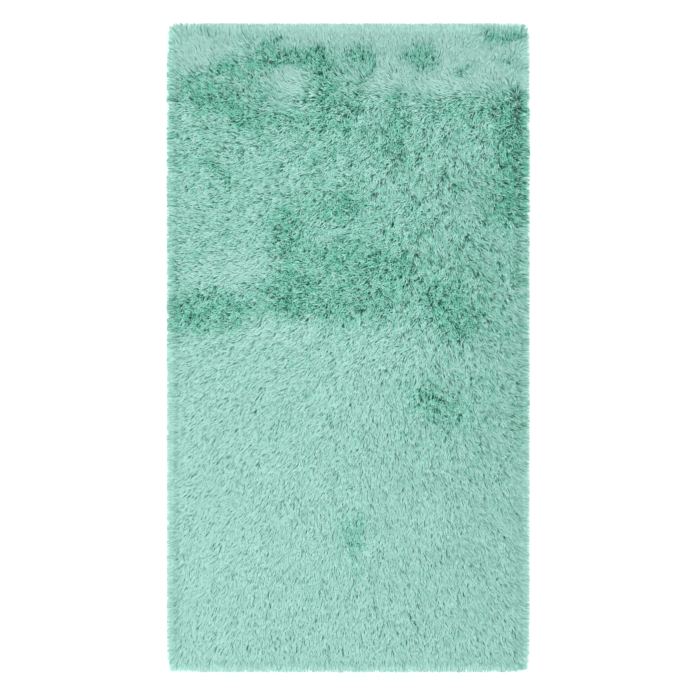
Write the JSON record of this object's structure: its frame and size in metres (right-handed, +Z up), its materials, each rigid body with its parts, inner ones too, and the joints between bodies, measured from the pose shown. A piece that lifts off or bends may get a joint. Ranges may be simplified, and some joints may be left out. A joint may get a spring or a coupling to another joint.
{
  "type": "bath mat",
  "caption": "Flat rectangular plush bath mat with a deep shaggy pile, a foam core, a bound edge and a non-slip backing with a care label in its seam.",
  "frame": {"origin": "on the floor under the middle of the mat, in the plane of the grip dots' feet", "axes": "+Y along the length, +X along the width, +Z up from the floor through the pile"},
  "size_m": [0.507, 0.907, 0.0252],
  "materials": {
    "pile": "soft mint-green microfibre pile, matt with a silky sheen on the strand tips",
    "ground_cloth": "knitted polyester ground in a deeper mint",
    "foam": "open-cell polyurethane foam, off-white, matt",
    "scrim": "thin felted polyester, matt",
    "grip_rubber": "moulded thermoplastic rubber, satin",
    "thread": "spun polyester sewing thread",
    "tape": "twill-woven polyester binding tape",
    "label_satin": "white satin ribbon, blank"
  },
  "bodies": {
    "mat": {"pile": "pile", "ground_cloth": "ground_cloth", "foam_core": "foam", "backing_scrim": "scrim", "grip_backing": "grip_rubber", "overlock_thread": "thread", "edge_binding": "tape", "needle_thread": "thread", "bobbin_thread": "thread"},
    "label": {"care_label": "label_satin"}
  },
  "joints": [
    {"name": "label_flap", "type": "hinge", "parent": "mat", "child": "label", "pos_m": [0.2445, -0.3, 0.00045], "axis": [0, -1, 0], "range_deg": [0, 180]}
  ]
}
